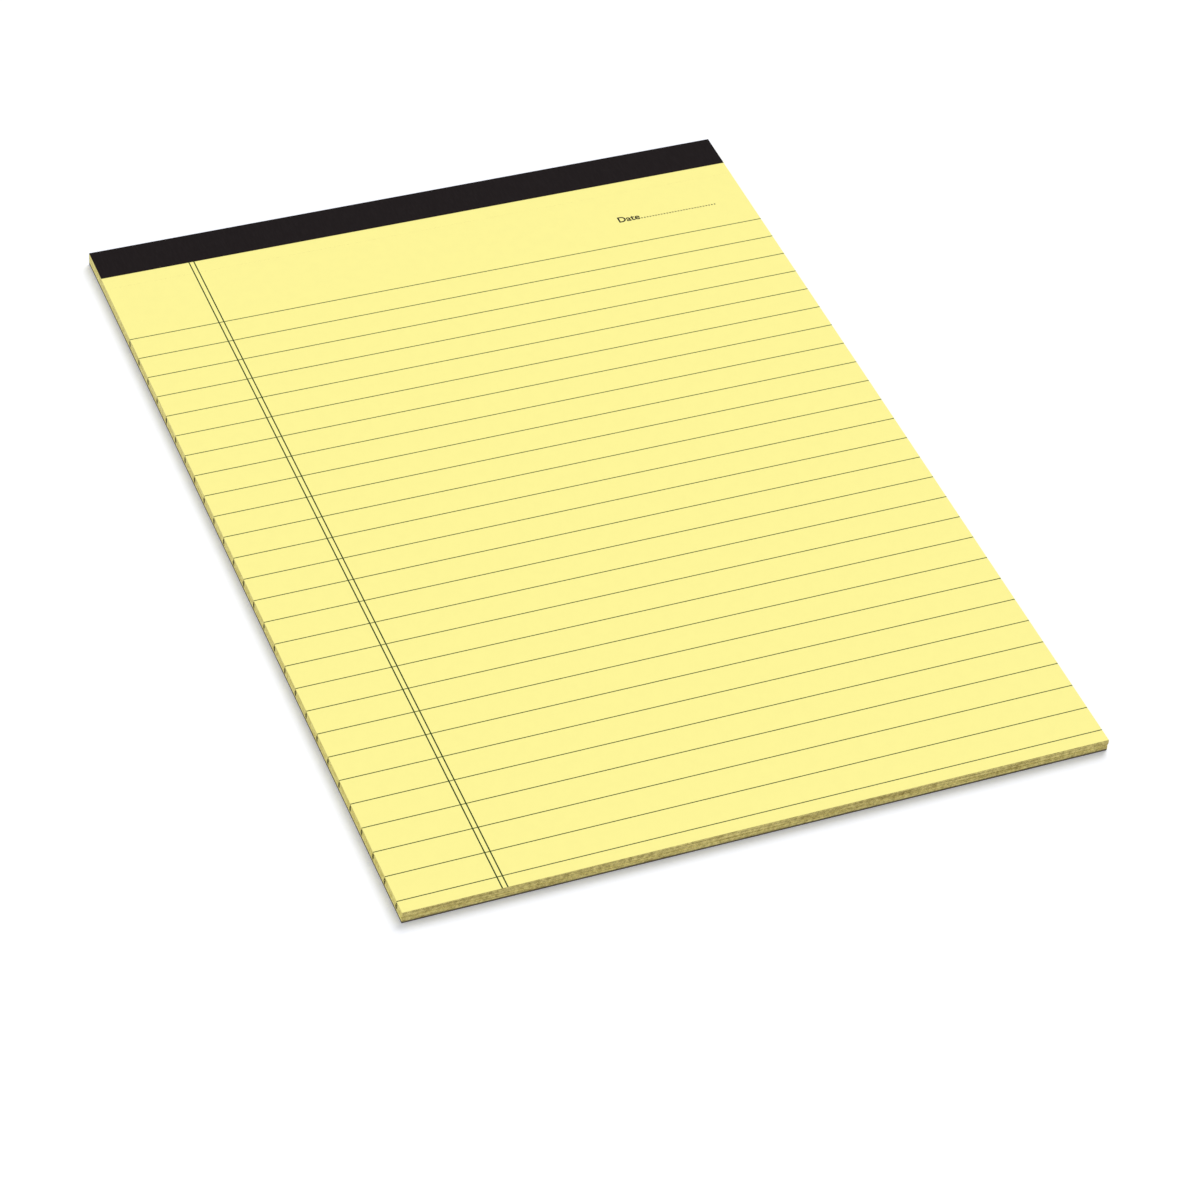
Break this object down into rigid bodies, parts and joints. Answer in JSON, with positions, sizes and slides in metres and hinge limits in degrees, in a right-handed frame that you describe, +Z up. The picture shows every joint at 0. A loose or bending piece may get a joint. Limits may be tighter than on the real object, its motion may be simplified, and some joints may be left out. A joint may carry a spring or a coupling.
{
  "type": "legal pad",
  "caption": "Ruled yellow writing pad: tear-off sheets wire-stitched to a chipboard back, with a black binding tape folded over the head.",
  "frame": {"origin": "on the table under the middle of the pad, which lies on its back", "axes": "+X across the sheets from the margin's side to the date's side, +Y from the foot to the bound head, +Z up out of the top sheet"},
  "size_m": [0.216, 0.2986, 0.0044],
  "materials": {
    "yellow_paper": "matte",
    "chipboard": "matte",
    "black_tape": "matte",
    "galvanised_wire": "satin",
    "rule_ink": "matte"
  },
  "bodies": {
    "root": {"sheet_block": "yellow_paper", "backing_board": "chipboard", "binding_tape": "black_tape", "wire_staples": "galvanised_wire", "printed_ruling": "rule_ink", "date_leader": "rule_ink"}
  },
  "joints": []
}
